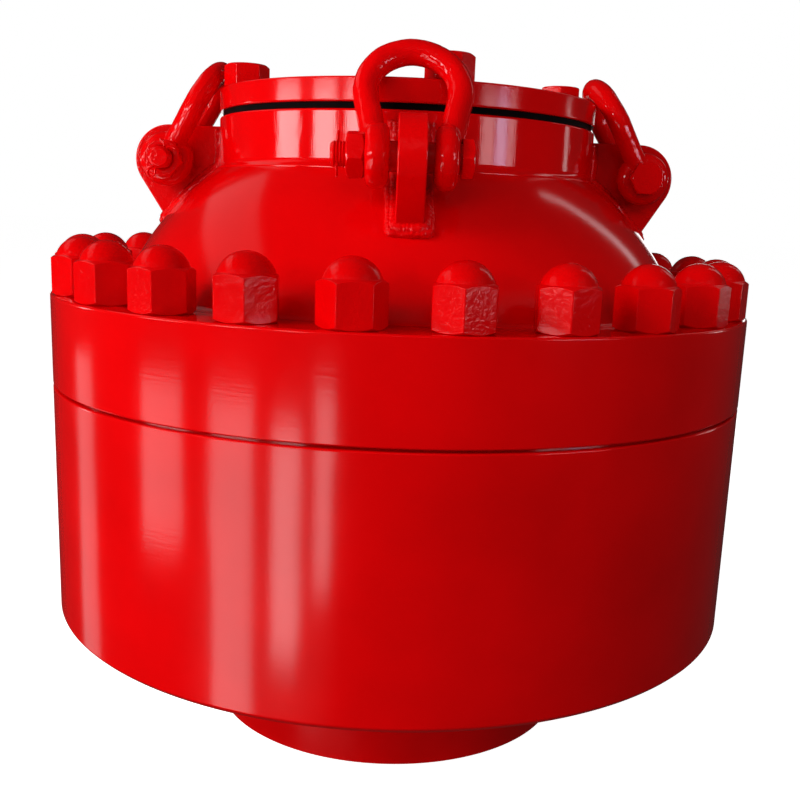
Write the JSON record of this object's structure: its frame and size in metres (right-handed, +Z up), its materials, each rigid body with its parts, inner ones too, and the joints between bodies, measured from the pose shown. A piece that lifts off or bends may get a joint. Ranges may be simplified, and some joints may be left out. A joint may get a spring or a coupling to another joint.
{
  "type": "annular blowout preventer",
  "caption": "Bolted-bonnet annular blowout preventer with flanged lower end, domed bonnet ringed by cap nuts, a blanked top and lifting shackles on lugs.",
  "frame": {"origin": "centre of the raised face of the bottom flange, which the preventer stands on", "axes": "+Z up along the bore; the front lifting lug faces -Y and the right one +X"},
  "size_m": [1.013, 1.013, 0.9676],
  "materials": {
    "red_enamel": "high gloss enamel over a casting",
    "red_forging": "glossy paint over a forging, nicked",
    "black_rubber": "matt sheet rubber",
    "packing_rubber": "smooth moulded nitrile rubber",
    "machined_steel": "turned and oiled"
  },
  "bodies": {
    "root": {"bottom_flange": "red_enamel", "lower_housing": "red_enamel", "bonnet": "red_enamel", "piston": "machined_steel", "packing_element": "packing_rubber", "housing_studs": "machined_steel", "cover_gasket": "black_rubber", "cover_plate": "red_enamel", "cover_studs": "machined_steel", "cover_nut_1": "red_enamel", "cover_nut_2": "red_enamel", "cover_nut_3": "red_enamel", "cover_nut_4": "red_enamel", "cap_nuts_front": "red_enamel", "lifting_lug_front": "red_enamel", "lug_weld_front": "red_enamel", "cap_nuts_right": "red_enamel", "lifting_lug_right": "red_enamel", "lug_weld_right": "red_enamel", "cap_nuts_back": "red_enamel", "lifting_lug_back": "red_enamel", "lug_weld_back": "red_enamel", "cap_nuts_left": "red_enamel", "lifting_lug_left": "red_enamel", "lug_weld_left": "red_enamel"},
    "shackle_front": {"shackle_bow_front": "red_forging", "shackle_pin_front": "red_forging", "shackle_nut_front": "red_forging", "cotter_pin_front": "red_forging"},
    "shackle_right": {"shackle_bow_right": "red_forging", "shackle_pin_right": "red_forging", "shackle_nut_right": "red_forging", "cotter_pin_right": "red_forging"},
    "shackle_back": {"shackle_bow_back": "red_forging", "shackle_pin_back": "red_forging", "shackle_nut_back": "red_forging", "cotter_pin_back": "red_forging"},
    "shackle_left": {"shackle_bow_left": "red_forging", "shackle_pin_left": "red_forging", "shackle_nut_left": "red_forging", "cotter_pin_left": "red_forging"}
  },
  "joints": [
    {"name": "shackle_front_swing", "type": "hinge", "parent": "root", "child": "shackle_front", "pos_m": [0, -0.346, 0.8264], "axis": [1, 0, 0], "range_deg": [0, 158]},
    {"name": "shackle_right_swing", "type": "hinge", "parent": "root", "child": "shackle_right", "pos_m": [0.346, 0, 0.8264], "axis": [0, 1, 0], "range_deg": [0, 158]},
    {"name": "shackle_back_swing", "type": "hinge", "parent": "root", "child": "shackle_back", "pos_m": [0, 0.346, 0.8264], "axis": [-1, 0, 0], "range_deg": [0, 158]},
    {"name": "shackle_left_swing", "type": "hinge", "parent": "root", "child": "shackle_left", "pos_m": [-0.346, 0, 0.8264], "axis": [0, -1, 0], "range_deg": [0, 158]}
  ]
}
